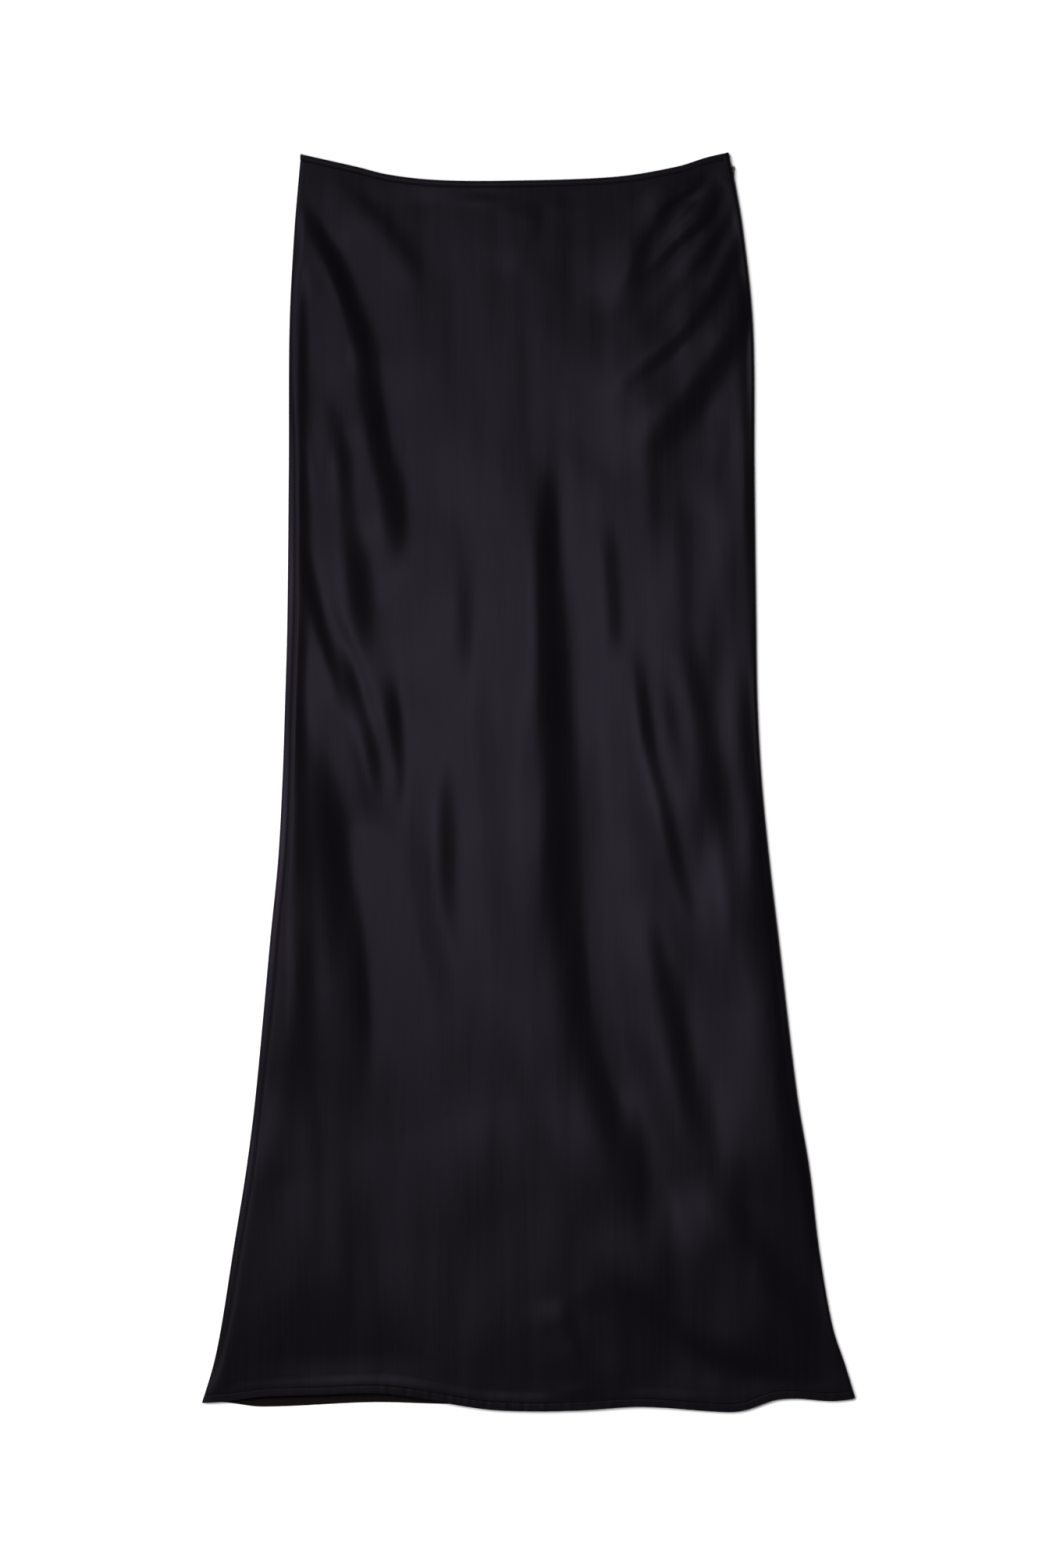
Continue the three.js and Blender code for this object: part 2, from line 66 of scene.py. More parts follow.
# How far in from an edge something there still shapes the front: fully up to the first distance,
# and no longer from the second.
NEAR = {
    "band": (8, 30),
    "hem": (12, 42),
    "welt": (7.8, 17),
    "zip": (22, 40),
    "side": (0.5, 7),
    "loft": (5, 55),
}
BAND_WIDTH = 4.6
HEM_WIDTH = 7.4
PANEL_LAP = {"band": 0.6, "hem": 0.5}  # how far a panel runs in under them
STITCH_INSET = 0.9  # of a stitched line from its band's or hem's inner edge
ZIP_TOP = 13.5
ZIP_LENGTH = 190
ZIP_ENDS = (225, 280)  # levels between which the front comes down from over the zip

# The outline's two side edges at each level.
SIDES = (
    ("down", "left", "right"),
    (0, -185.3, 161.2),
    (22, -187.4, 166.4),
    (66, -191.0, 173.8),
    (142, -194.8, 181.6),
    (256, -195.4, 182.8),
    (383, -196.6, 184.2),
    (447, -198.4, 185.2),
    (510, -200.5, 188.6),
    (574, -204.0, 194.8),
    (637, -210.2, 202.2),
    (764, -222.1, 217.2),
    (827, -230.0, 227.6),
    (891, -240.3, 235.2),
    (954, -250.2, 246.2),
    (985, -256.6, 256.4),
    (1016, -265.9, 265.9),
)

# The waist edge's dip, and the two hems' waves, across the width from left to right.
WAIST = (
    ("across", "down"),
    (0, 1.3),
    (0.137, 12.1),
    (0.209, 18.4),
    (0.318, 22.8),
    (0.477, 23.4),
    (0.722, 20.3),
    (0.867, 12.1),
    (0.942, 4.4),
    (1, 0),
)
FRONT_HEM = (
    ("across", "down"),
    (0, 1015.8),
    (0.043, 1014.4),
    (0.1, 1010.4),
    (0.18, 1008.9),
    (0.264, 1007.4),
    (0.313, 1009.8),
    (0.431, 1020.3),
    (0.502, 1022.2),
    (0.574, 1021.5),
    (0.669, 1018.6),
    (0.789, 1022.8),
    (0.82, 1021.8),
    (0.866, 1013.6),
    (0.9, 1012),
    (0.955, 1014),
    (1, 1011.4),
)
BACK_HEM = (
    ("across", "down"),
    (0, 1015.8),
    (0.043, 1015.6),
    (0.1, 1019),
    (0.264, 1015.4),
    (0.36, 1016.6),
    (0.5, 1018),
    (0.8, 1016),
    (0.9, 1008),
    (1, 1011.4),
)

# The front's folds. The cloth drops from a crest on the line's left to a trough on its right, half a
# width to each side, or rises where the drop is negative. half is at the line's start and end; the
# line starts at the waist end.
FOLDS = (
    ("name", "line", "half", "drop"),
    # Left of the middle, from the waist to the thigh.
    ("left waist", ((-187, 34), (-176, 56), (-160, 88), (-147, 118), (-136, 152), (-133, 180), (-138, 222)),
        (7, 12), 4.2),
    ("left hip", ((-134, 165), (-126, 205), (-120, 240), (-112, 275), (-107, 320), (-104, 370)),
        (13, 18), 5.4),
    ("left waist soft", ((-152, 18), (-140, 36), (-115, 60), (-93, 92), (-84, 120)), (9, 11), 1.2),
    ("left of waist fold", ((-178, 80), (-163, 120), (-157, 165), (-160, 215)), (8, 10), -1.0),
    ("left thigh", ((-166, 185), (-155, 225), (-149, 265), (-146, 315), (-140, 360), (-130, 410)),
        (11, 15), 4.2),
    ("left hollow", ((-182, 200), (-176, 290), (-168, 380), (-162, 470), (-160, 600)), (18, 20), 3.4),
    ("left broad", ((-150, 300), (-138, 380), (-122, 470), (-108, 590)), (20, 22), 2.2),
    ("middle left", ((-140, 270), (-130, 340), (-120, 410), (-112, 500)), (16, 18), 1.8),
    ("middle left low", ((-68, 250), (-60, 330), (-52, 400), (-44, 490)), (19, 21), 2.4),
    ("high light", ((-66, 40), (-55, 110), (-40, 170), (-24, 250)), (24, 28), -1.3),
    ("left side", ((-180, 20), (-184, 120), (-186, 220), (-184, 320), (-186, 420), (-188, 540), (-194, 700)),
        (9, 9), 3.0),
    ("left edge low", ((-180, 500), (-180, 590), (-184, 680), (-200, 780), (-214, 880)), (16, 22), 2.6),
    # Left, from the thigh to the flare.
    ("left edge", ((-186, 300), (-179, 340), (-172, 381), (-161, 418), (-148, 478), (-138, 520)),
        (7, 9), 2.0),
    ("left long ridge", ((-182, 350), (-174, 385), (-160, 435), (-144, 485), (-126, 540)), (6, 8), -1.0),
    ("left short ridge", ((-166, 345), (-157, 372), (-137, 420), (-117, 482), (-100, 545)), (6, 8), -0.9),
    ("left knee top", ((-152, 390), (-143, 430), (-134, 462), (-127, 495), (-118, 550)), (8, 10), 1.8),
    ("above knee", ((-117, 418), (-111, 445), (-106, 489), (-105, 520), (-108, 570)), (9, 11), 2.4),
    ("left knee", ((-184, 440), (-174, 485), (-164, 530), (-154, 584), (-145, 639), (-136, 704), (-120, 830)),
        (17, 34), 6.4),
    ("left edge ridge", ((-197, 480), (-198, 565), (-201, 639), (-207, 720), (-214, 780)), (7, 8), -0.4),
    ("left flare", ((-186, 600), (-184, 650), (-183, 713), (-180, 780), (-176, 840)), (10, 15), 2.0),
    ("inner ridge", ((-104, 470), (-90, 560), (-80, 630), (-74, 700), (-70, 780), (-64, 860)),
        (15, 24), -1.7),
    ("inner flare", ((-72, 470), (-70, 530), (-68, 587), (-63, 640), (-56, 700)), (11, 14), 1.9),
    ("bottom left", ((-185, 740), (-165, 820), (-138, 900), (-100, 1000)), (44, 56), 7.2),
    ("left hem edge", ((-226, 770), (-233, 850), (-242, 920), (-252, 975)), (8, 9), -1.0),
    # The middle, with the two long folds down the centre.
    ("waist middle", ((11, 40), (7, 58), (-3, 83), (-9, 104)), (9, 11), 1.1),
    ("upper right plain", ((36, 60), (44, 110), (50, 160), (46, 215)), (22, 24), -0.4),
    ("thigh ridge", ((-44, 380), (-36, 440), (-30, 510), (-26, 580), (-22, 650), (-22, 740)), (13, 20), -1.5),
    ("centre high", ((14, 244), (15.2, 280), (15.6, 330), (17, 390), (20, 450), (26, 540)), (9, 18), 4.4),
    ("centre low", ((17, 380), (19, 460), (24, 550), (31, 620), (42, 690), (59, 760), (84, 830),
        (116, 900), (160, 966)), (18, 25), 5.2),
    ("right of centre", ((58, 540), (63, 600), (70, 670), (80, 750), (94, 840)), (15, 20), -1.8),
    ("centre flare ridge", ((-30, 680), (-12, 740), (6, 795), (28, 850), (52, 910), (86, 985)),
        (13, 20), -1.5),
    ("lower middle", ((-160, 800), (-90, 790), (-10, 785), (90, 780), (260, 775)), (70, 70), 3.0),
    ("lower right middle", ((36, 890), (66, 884), (110, 874)), (24, 30), 1.3),
    ("middle hem", ((28, 925), (33, 950), (40, 975), (46, 1000)), (9, 10), 1.6),
    # The sprays from the right waist corner and hip.
    ("right waist a", ((162, 0), (153, 7), (144, 14), (133, 30), (116, 41), (98, 68), (64, 140)),
        (6, 11), 3.0),
    ("right waist b", ((160, 20), (155, 32), (144, 54), (127, 69), (112, 82), (66, 136)), (5.5, 12), 3.8),
    ("right waist c", ((172, 34), (166, 46), (158, 61), (148, 75), (138, 87), (104, 128), (80, 160)),
        (5, 10), 2.9),
    ("right hip d", ((173, 58), (168, 72), (164, 87), (153, 110), (124, 150), (94, 178), (54, 214)),
        (7, 15), 4.6),
    ("right hip e", ((184, 100), (173, 134), (150, 176), (122, 216), (100, 240), (66, 270)), (11, 25), 6.2),
    ("right hip f", ((165, 215), (158, 238), (151, 270), (148, 300)), (9, 11), 0.9),
    ("right ridge a", ((152, 14), (142, 31), (134, 42), (122, 56), (106, 79), (84, 112)), (4, 7), -1.2),
    ("right ridge b", ((170, 38), (155, 55), (139, 74), (125, 94), (112, 110), (92, 140)), (4, 7), -1.2),
    ("right ridge c", ((172, 52), (161, 76), (153, 91), (145, 110), (128, 142)), (4, 7), -1.2),
    ("right side", ((168, 60), (174, 100), (178, 160), (180, 260), (180, 340)), (7, 7), 2.2),
    # Right, from the thigh to the hem.
    ("right plain", ((140, 240), (146, 300), (150, 370), (152, 440)), (16, 18), -1.2),
    ("right thigh", ((82, 385), (88, 418), (100, 491), (117, 565), (132, 625), (143, 690)), (8, 11), 2.5),
    ("right thigh faint", ((63, 290), (65, 319), (72, 396), (79, 430)), (9, 10), 1.1),
    ("right thigh wide", ((100, 400), (118, 470), (132, 550), (144, 620)), (14, 15), 2.8),
    ("right knee", ((127, 380), (131, 408), (142, 465), (147, 519), (149, 600)), (11, 15), 2.4),
    ("right of knee", ((146, 460), (156, 530), (166, 600), (180, 700)), (16, 20), 3.0),
    ("right flare", ((98, 600), (106, 650), (118, 710), (130, 760), (150, 850)), (11, 16), 2.6),
    ("right flare ridge", ((120, 560), (132, 635), (148, 700), (164, 770), (186, 860)), (14, 18), -0.4),
    ("right inner ridge", ((90, 700), (102, 760), (118, 820), (142, 910)), (14, 17), -2.4),
    ("right edge", ((173, 400), (182, 470), (194, 565), (205, 657), (216, 759), (232, 851), (262, 990)),
        (10, 27), 7.2),
    ("hem corner", ((150, 820), (172, 865), (192, 900), (220, 945), (256, 998)), (17, 26), 4.6),
    ("right hem", ((64, 900), (92, 930), (130, 966), (176, 984), (254, 1002)), (12, 13), -2.8),
)
FOLD_STEEP = 1.3  # how quickly it drops across its line
FOLD_SPREAD = 3.0  # half widths over which the cloth beside it makes up for the drop
FOLD_ENDS = (0.3, 0.6)  # it grows up to the first share of its line and fades from the second
FOLD_LIFT = 0.3  # how much of the drop a fold stands up by

# Slow waves over the whole front, so that no stretch lies quite flat: how far apart, which way they
# run across (degrees from straight across), their height and where they start.
WAVES = (
    ("apart", "turn", "height", "start"),
    (171, 8, 0.55, 0.4),
    (118, -17, 0.42, 2.1),
    (83, 31, 0.26, 4.0),
    (57, -9, 0.16, 1.2),
    (41, 14, 0.09, 3.3),
    (29, 4, 0.10, 2.6),
    (20, -3, 0.055, 0.9),
)
WAVE_BEND = {"size": 0.6, "reach": 140}  # of the longer wave that bends each of them

# The front hem stands a little clear of the back hem on the left.
MOUTH = {"across": 0.21, "half_span": 0.17, "full": 0.35, "lift": 2.5, "depth": 34}

# Folds weaken by this share close to the hem, and fade out over this distance to the waist.
CALM = {"at_hem": 0.6, "hem": (4, 18), "waist": 24}

# Stretches where the doubled hem lifts the cloth above its stitches.
WELTS = (
    ("name", "x", "half", "end", "size"),
    ("all along", 0, 300, 301, 0.15),
    ("left half", -116, 120, 152, 0.6),
    ("right patch", 92, 34, 56, 0.42),
)

# The hem's small ripples: each sine's share, its turn to a millimetre, and how much of the drift
# it takes. The drift is a slow change of where they start, and their size varies slowly too.
PUCKER = 0.2
PUCKER_REACH = 6
BACK_PUCKER = {"height": 0.12, "shift": 40, "reach": (0, 12)}
RIPPLES = (
    ("share", "turn", "drift"),
    (0.6, 2 * math.pi / 11.3, 1),
    (0.4, 0.91, 2),
)
RIPPLE_DRIFT = (
    ("size", "reach", "start"),
    (1.7, 37, 0.8),
    (1.1, 83, 0),
)
RIPPLE_SIZE = {"mean": 0.6, "change": 0.4, "reach": 61, "start": 2.2}

# Small dents and lumps: where each lies, how far it reaches across and down, and its height.
DENTS = (
    ("name", "x", "down", "wide", "long", "height"),
    ("under the waist", -37, 31, 13, 5, -0.9),
    ("beside it", -37, 39, 16, 4, 0.5),
    ("below the right corner", 88, 62, 14, 16, -0.5),
)

# The back's soft creases, unseen from above: they press a little way up from the ground.
BACK_FOLDS = (
    ("name", "line", "half", "drop"),
    ("left back", ((-150, 120), (-138, 260), (-132, 420), (-150, 560)), (12, 18), 0.5),
    ("left back flare", ((-120, 500), (-128, 640), (-160, 800), (-190, 930)), (16, 30), 0.7),
    ("middle back", ((10, 300), (0, 470), (-14, 640), (-40, 820), (-60, 950)), (14, 26), 0.6),
    ("right back", ((140, 90), (126, 220), (110, 360)), (11, 17), -0.5),
    ("right back flare", ((90, 480), (110, 620), (150, 780), (190, 930)), (15, 30), -0.7),
)
BACK_CALM = {"side": (6, 30), "end": (10, 50)}  # from its outline's edges


# ---------------------------------------------------------------- curves and surfaces


def columns(table):
    """A table's columns as arrays by name."""
    return {name: np.array([row[i] for row in table[1:]], float) for i, name in enumerate(table[0])}


def rows(table):
    """A table's rows as dictionaries by column name."""
    return [dict(zip(table[0], row)) for row in table[1:]]


def smoothstep(a, b, x):
    """0 up to a, 1 from b, and 3t^2 - 2t^3 between them."""
    t = np.clip((x - a) / (b - a), 0, 1)
    return t * t * (3 - 2 * t)


def within(span, distance):
    """1 up to the first distance of a pair and 0 from the second."""
    return 1 - smoothstep(span[0], span[1], distance)


def along(table, key, value, x):
    """A smooth curve through a table's rows: cubic pieces whose slope at a row is the slope from the
    row before it to the row after it."""
    c = columns(table)
    k, v = c[key], c[value]
    before = np.maximum(np.arange(len(k)) - 1, 0)
    after = np.minimum(np.arange(len(k)) + 1, len(k) - 1)
    slope = (v[after] - v[before]) / (k[after] - k[before])
    i = np.clip(np.searchsorted(k, x, side="right") - 1, 0, len(k) - 2)
    span = k[i + 1] - k[i]
    t = np.clip((x - k[i]) / span, 0, 1)
    t2, t3 = t * t, t * t * t
    ends = (2 * t3 - 3 * t2 + 1) * v[i] + (3 * t2 - 2 * t3) * v[i + 1]
    return ends + span * ((t3 - 2 * t2 + t) * slope[i] + (t3 - t2) * slope[i + 1])


def smooth_line(line, steps=6):
    """Points along a smooth curve through a fold's points (Catmull-Rom)."""
    p = np.array(line, float)
    p = np.vstack([2 * p[0] - p[1], p, 2 * p[-1] - p[-2]])
    out = []
    for i in range(1, len(p) - 2):
        t = np.linspace(0, 1, steps, endpoint=False)[:, None]
        a, b, c, d = p[i - 1], p[i], p[i + 1], p[i + 2]
        out.append(b + 0.5 * t * (c - a + t * (2 * a - 5 * b + 4 * c - d + t * (3 * (b - c) + d - a))))
    return np.vstack(out + [p[-2][None]])


def beside(line, x, down):
    """For each point, the signed distance to the line's right, and the share of the line's length at
    its nearest place."""
    p = smooth_line(line)
    step = np.diff(p, axis=0)
    length = np.hypot(step[:, 0], step[:, 1])
    start = np.concatenate([[0], np.cumsum(length)])
    best = np.full(x.shape, np.inf)
    right, share = np.zeros(x.shape), np.zeros(x.shape)
    for i, size in enumerate(length):
        ux, uy = step[i] / size
        gx, gy = x - p[i, 0], down - p[i, 1]
        held = np.clip(gx * ux + gy * uy, 0, size)
        gx, gy = gx - held * ux, gy - held * uy
        distance = np.hypot(gx, gy)
        near = distance < best
        best = np.where(near, distance, best)
        right = np.where(near, np.copysign(distance, gx * uy - gy * ux), right)
        share = np.where(near, (start[i] + held) / start[-1], share)
    return right, share


def fold_lift(row, x, down):
    """A step down across the fold's line, drop * (FOLD_LIFT - tanh(FOLD_STEEP s)) with s in half
    widths. Both sides slowly make up for it, exp(-(s / FOLD_SPREAD)^2), and it fades in and out along
    the line."""
    right, share = beside(row["line"], x, down)
    s = right / (row["half"][0] + (row["half"][1] - row["half"][0]) * share)
    taper = smoothstep(0, FOLD_ENDS[0], share) * (1 - smoothstep(FOLD_ENDS[1], 1, share))
    return row["drop"] * taper * (FOLD_LIFT - np.tanh(FOLD_STEEP * s)) * np.exp(-((s / FOLD_SPREAD) ** 2))


def dent(row, x, down):
    """A small bump, or a dent where its height is negative: height * exp(-(across^2 + along^2)) with
    each distance in its own reach."""
    across, along_ = (x - row["x"]) / row["wide"], (down - row["down"]) / row["long"]
    return row["height"] * np.exp(-(across**2) - along_**2)


def slow_waves(x, down):
    """The sum of the wave table's sines, each bent a little by a longer one."""
    total = 0
    for row in rows(WAVES):
        turn = math.radians(row["turn"])
        reach = x * math.cos(turn) + down * math.sin(turn)
        bend = WAVE_BEND["size"] * np.sin(down / WAVE_BEND["reach"] + row["start"])
        total = total + row["height"] * np.sin(2 * math.pi * reach / row["apart"] + row["start"] + bend)
    return total


def hem_puckers(across_mm):
    """Uneven small ripples along the hem: two sines of about 11 and 7 mm whose phases drift by a sum
    of slow sines, times a size that changes slowly."""
    drift = sum(row["size"] * np.sin(across_mm / row["reach"] + row["start"]) for row in rows(RIPPLE_DRIFT))
    size = RIPPLE_SIZE["change"] * np.sin(across_mm / RIPPLE_SIZE["reach"] + RIPPLE_SIZE["start"])
    sines = sum(r["share"] * np.sin(across_mm * r["turn"] + r["drift"] * drift) for r in rows(RIPPLES))
    return (RIPPLE_SIZE["mean"] + size) * sines


def left_edge(down):
    """The outline's left side at a level."""
    return along(SIDES, "down", "left", down)


def right_edge(down):
    """The outline's right side at a level."""
    return along(SIDES, "down", "right", down)


def waist_down(across):
    """The waist edge's level at a share of the width."""
    return along(WAIST, "across", "down", across)


def hem_down(side, across):
    """The front or back hem's level at a share of the width."""
    return along(FRONT_HEM if side == "front" else BACK_HEM, "across", "down", across)


def front_height(x, down, across, inset):
    """The front's middle surface: its loft at the sides, its folds, dents and waves, and the lifted
    hem. It comes down softly to the layers below it and never into them."""
    clear = 1 - within(NEAR["side"], inset)
    loft = MIDDLE_HEIGHT + (SIDE_HEIGHT - MIDDLE_HEIGHT) * within(NEAR["loft"], inset)
    loft = loft - HEM_FALL * smoothstep(*HEM_FALL_SPAN, down)
    folds = sum(fold_lift(row, x, down) for row in rows(FOLDS))
    folds = folds + slow_waves(x, down) + sum(dent(row, x, down) for row in rows(DENTS))
    to_hem = hem_down("front", across) - down
    from_waist = down - waist_down(across)
    beyond = np.abs(across - MOUTH["across"]) / MOUTH["half_span"]
    lift = MOUTH["lift"] * within((MOUTH["full"], 1), beyond) * within((0, MOUTH["depth"]), to_hem)
    calm = (1 - CALM["at_hem"] * within(CALM["hem"], to_hem)) * smoothstep(0, CALM["waist"], from_waist)
    at_band = LOWEST["over_band"] * within(NEAR["band"], from_waist)
    at_hem = LOWEST["over_hem"] * within(NEAR["hem"], to_hem)
    at_zip = LOWEST["over_zip"] * np.where(across > 0.5, within(NEAR["zip"], inset), 0)
    at_zip = at_zip * within(ZIP_ENDS, down)
    lowest = LOWEST["front"] + np.maximum(np.maximum(at_band, at_hem), at_zip)
    above = loft + clear * (folds * calm + lift) - lowest
    raised = sum(row["size"] * within((row["half"], row["end"]), np.abs(x - row["x"])) for row in rows(WELTS))
    welt = HEM_WELT * raised * within(NEAR["welt"], to_hem)
    past_hem = np.maximum(to_hem - HEM_WIDTH, 0) / PUCKER_REACH
    puckers = welt + PUCKER * hem_puckers(x) * np.exp(-(past_hem**2))
    return lowest + SOFT_STOP * np.logaddexp(0, above / SOFT_STOP) + clear * puckers


def back_height(x, down, across, inset):
    """The back's middle surface: on the ground, with soft creases that lift off it a little, and its
    hem lifting with small puckers."""
    to_hem = hem_down("back", across) - down
    calm = (1 - within(BACK_CALM["side"], inset)) * (1 - within(BACK_CALM["end"], to_hem))
    calm = calm * (1 - within(BACK_CALM["end"], down - waist_down(across)))
    folds = sum(fold_lift(row, x, down) for row in rows(BACK_FOLDS))
    puckers = BACK_PUCKER["height"] * (1 + hem_puckers(x + BACK_PUCKER["shift"]))
    return HALF_WALL + np.maximum(folds, 0) * calm + puckers * within(BACK_PUCKER["reach"], to_hem)


def cloth(side, c, down):
    """A panel's middle surface, in millimetres. c runs round the half tube from the left seam, -1, to
    the right, 1. The cloth rolls over in a quarter ellipse at each end."""
    c, down = np.broadcast_arrays(c, down)
    across = (c + 1) / 2
    xl, xr = left_edge(down) + HALF_WALL, right_edge(down) - HALF_WALL
    end = 1 - np.abs(c)
    to_seam = np.minimum(end / ROLL_SHARE, 1) * (math.pi / 2)
    inset = EDGE_ROLL * (1 - np.cos(to_seam))
    middle = 1 - ROLL_SHARE
    t = (np.clip(c, -middle, middle) / middle + 1) / 2
    x = xl + EDGE_ROLL + (xr - xl - 2 * EDGE_ROLL) * t
    x = np.where(end < ROLL_SHARE, np.where(c < 0, xl + inset, xr - inset), x)
    if side == "front":
        flat = front_height(x, down, across, np.minimum(x - xl, xr - x))
        seam = SEAM_HEIGHT + SEAM_GAP / 2
    else:
        flat = back_height(x, down, across, np.minimum(x - xl, xr - x))
        seam = SEAM_HEIGHT - SEAM_GAP / 2
    z = seam + (flat - seam) * np.sin(to_seam)
    return np.stack([x + SHIFT[0], LENGTH / 2 - down + SHIFT[1], z], -1)


def normals(p, side):
    """Outward unit normals of a grid of points: the cross product of its two directions."""
    across = np.gradient(p, axis=1)
    down = np.gradient(p, axis=0)
    n = np.cross(down, across) if side == "front" else np.cross(across, down)
    return n / np.linalg.norm(n, axis=-1, keepdims=True)


# ---------------------------------------------------------------- meshes


def mesh_object(name, verts, faces, uv, materials, face_material=None):
    """A smooth-shaded mesh object in metres. uv is per vertex."""
    mesh = bpy.data.meshes.new(name)
    mesh.from_pydata((verts * MM).tolist(), [], faces)
    mesh.polygons.foreach_set("use_smooth", np.ones(len(mesh.polygons), bool))
    loops = np.zeros(len(mesh.loops), np.int32)
    mesh.loops.foreach_get("vertex_index", loops)
    layer = mesh.uv_layers.new(name="UVMap")
    layer.data.foreach_set("uv", (uv[loops] * MM).astype(np.float32).ravel())
    for material in materials:
        mesh.materials.append(material)
    if face_material is not None:
        mesh.polygons.foreach_set("material_index", np.asarray(face_material, np.int32))
    mesh.validate()
    mesh.update()
    o = bpy.data.objects.new(name, mesh)
    bpy.context.scene.collection.objects.link(o)
    return o


def grid_quads(rows_, cols, base=0, flip=False):
    """The quads of a rows x cols grid of vertices."""
    i = np.arange(rows_ - 1)[:, None] * cols + np.arange(cols - 1)[None, :] + base
    quads = np.stack([i, i + cols, i + cols + 1, i + 1], -1).reshape(-1, 4)
    return quads[:, ::-1] if flip else quads


def shell(name, side, p, uv, outer, inner, materials):
    """A closed thin shell on a grid of points: outer along the normals to inner, with a rim. The
    first material is on the outer face and the rim, the second on the inner face."""
    n = normals(p, side)
    rows_, cols = p.shape[:2]
    verts = np.concatenate([(p + n * outer).reshape(-1, 3), (p + n * inner).reshape(-1, 3)])
    size = rows_ * cols
    flip = side == "back"
    out_faces = grid_quads(rows_, cols, 0, flip)
    in_faces = grid_quads(rows_, cols, size, not flip)
    ring = np.concatenate(
        [
            np.arange(cols),
            np.arange(1, rows_) * cols + cols - 1,
            (rows_ - 1) * cols + np.arange(cols - 2, -1, -1),
            np.arange(rows_ - 2, 0, -1) * cols,
        ]
    )
    after = np.roll(ring, -1)
    rim = np.stack([ring, after, after + size, ring + size], -1)
    rim = rim[:, ::-1] if flip else rim
    faces = np.concatenate([out_faces, in_faces, rim])
    which = np.concatenate([np.zeros(len(out_faces)), np.ones(len(in_faces)), np.zeros(len(rim))])
    flat_uv = uv.reshape(-1, 2)
    return mesh_object(name, verts, faces.tolist(), np.concatenate([flat_uv, flat_uv]), materials, which)


def tube_faces(n, k):
    """The faces of n loops of k points, joined in turn, with flat ends."""
    faces = [
        (a * k + i, a * k + (i + 1) % k, (a + 1) * k + (i + 1) % k, (a + 1) * k + i)
        for a in range(n - 1)
        for i in range(k)
    ]
    return faces + [tuple(range(k))[::-1], tuple(range((n - 1) * k, n * k))]


def strip(name, loops, uv, material):
    """A closed band: a loop of points (k, 3) at each of n places, joined in turn, with flat ends.
    loops is (n, k, 3)."""
    faces = tube_faces(*loops.shape[:2])
    return mesh_object(name, loops.reshape(-1, 3), faces, uv.reshape(-1, 2), [material])


def recalculated(o):
    """The object with its faces turned outwards."""
    b = bmesh.new()
    b.from_mesh(o.data)
    bmesh.ops.recalc_face_normals(b, faces=b.faces)
    b.to_mesh(o.data)
    b.free()
    return o


def girth(middle, roll):
    """Girth coordinates with `roll` steps round each side and `middle` between them."""
    ends = np.arange(roll) * (ROLL_SHARE / roll)
    mid = np.linspace(-1 + ROLL_SHARE, 1 - ROLL_SHARE, middle + 1)
    return np.concatenate([-1 + ends, mid, (1 - ends)[::-1]])


# ---------------------------------------------------------------- shader maths


class Sock:
    """A shader socket with arithmetic. Operators on values add Math nodes."""

    def __init__(self, tree, socket):
        self.tree, self.socket = tree, socket

    def math(self, operation, other):
        """A Math node of this socket and another socket or number."""
        n = self.tree.nodes.new("ShaderNodeMath")
        n.operation = operation
        self.tree.links.new(self.socket, n.inputs[0])
        if isinstance(other, Sock):
            self.tree.links.new(other.socket, n.inputs[1])
        else:
            n.inputs[1].default_value = other
        return Sock(self.tree, n.outputs[0])

    def __add__(self, o):
        return self.math("ADD", o)

    __radd__ = __add__

    def __mul__(self, o):
        return self.math("MULTIPLY", o)

    __rmul__ = __mul__


def add_node(tree, kind, settings=None, out=0, **inputs):
    """Adds a node, sets its settings first and then its inputs. An input name has _ for a space, or is
    i with the input's index, such as i0."""
    n = tree.nodes.new(kind)
    for key, value in (settings or {}).items():
        setattr(n, key, value)
    for key, value in inputs.items():
        index = int(key[1:]) if key[0] == "i" and key[1:].isdigit() else None
        target = n.inputs[index] if index is not None else n.inputs[key.replace("_", " ")]
        if isinstance(value, Sock):
            tree.links.new(value.socket, target)
        else:
            target.default_value = value
    return Sock(tree, n.outputs[out])


def new_material(name):
    """A material with nothing but its Principled shader and output."""
    m = bpy.data.materials.new(name)
    m.use_nodes = True
    tree = m.node_tree
    return m, tree, next(n for n in tree.nodes if n.type == "BSDF_PRINCIPLED")


def feed(tree, socket, value):
    """Links or sets one of the Principled shader's sockets."""
    if isinstance(value, Sock):
        tree.links.new(value.socket, socket)
    else:
        socket.default_value = value


def blend(tree, factor, a, b):
    """A colour from a to b by factor."""
    return add_node(tree, "ShaderNodeMix", {"data_type": "RGBA"}, 2, i0=factor, i6=a, i7=b)


def noise(tree, place, scale, detail, rough=0.5):
    """Fractal noise at a place."""
    settings = {"Vector": place, "Scale": scale, "Detail": detail, "Roughness": rough}
    return add_node(tree, "ShaderNodeTexNoise", **settings)


def stretched(tree, place, scale):
    """A place scaled by three numbers."""
    return add_node(tree, "ShaderNodeMapping", Vector=place, Scale=scale)


# How fine the satin's threads and patches are across and along the length, to a metre.
WARP_SCALE = (900, 26, 1)
SLUB_SCALE = (260, 9, 1)
WEFT_SCALE = (60, 700, 1)
PATCH_SCALE = (14, 9, 1)
THREAD_DEPTH = 0.12  # how deep the threads stand, in millimetres
HIGHLIGHT_RIM = (0.82, 0.74, 0.88, 1)  # the highlight's tint where the cloth turns away


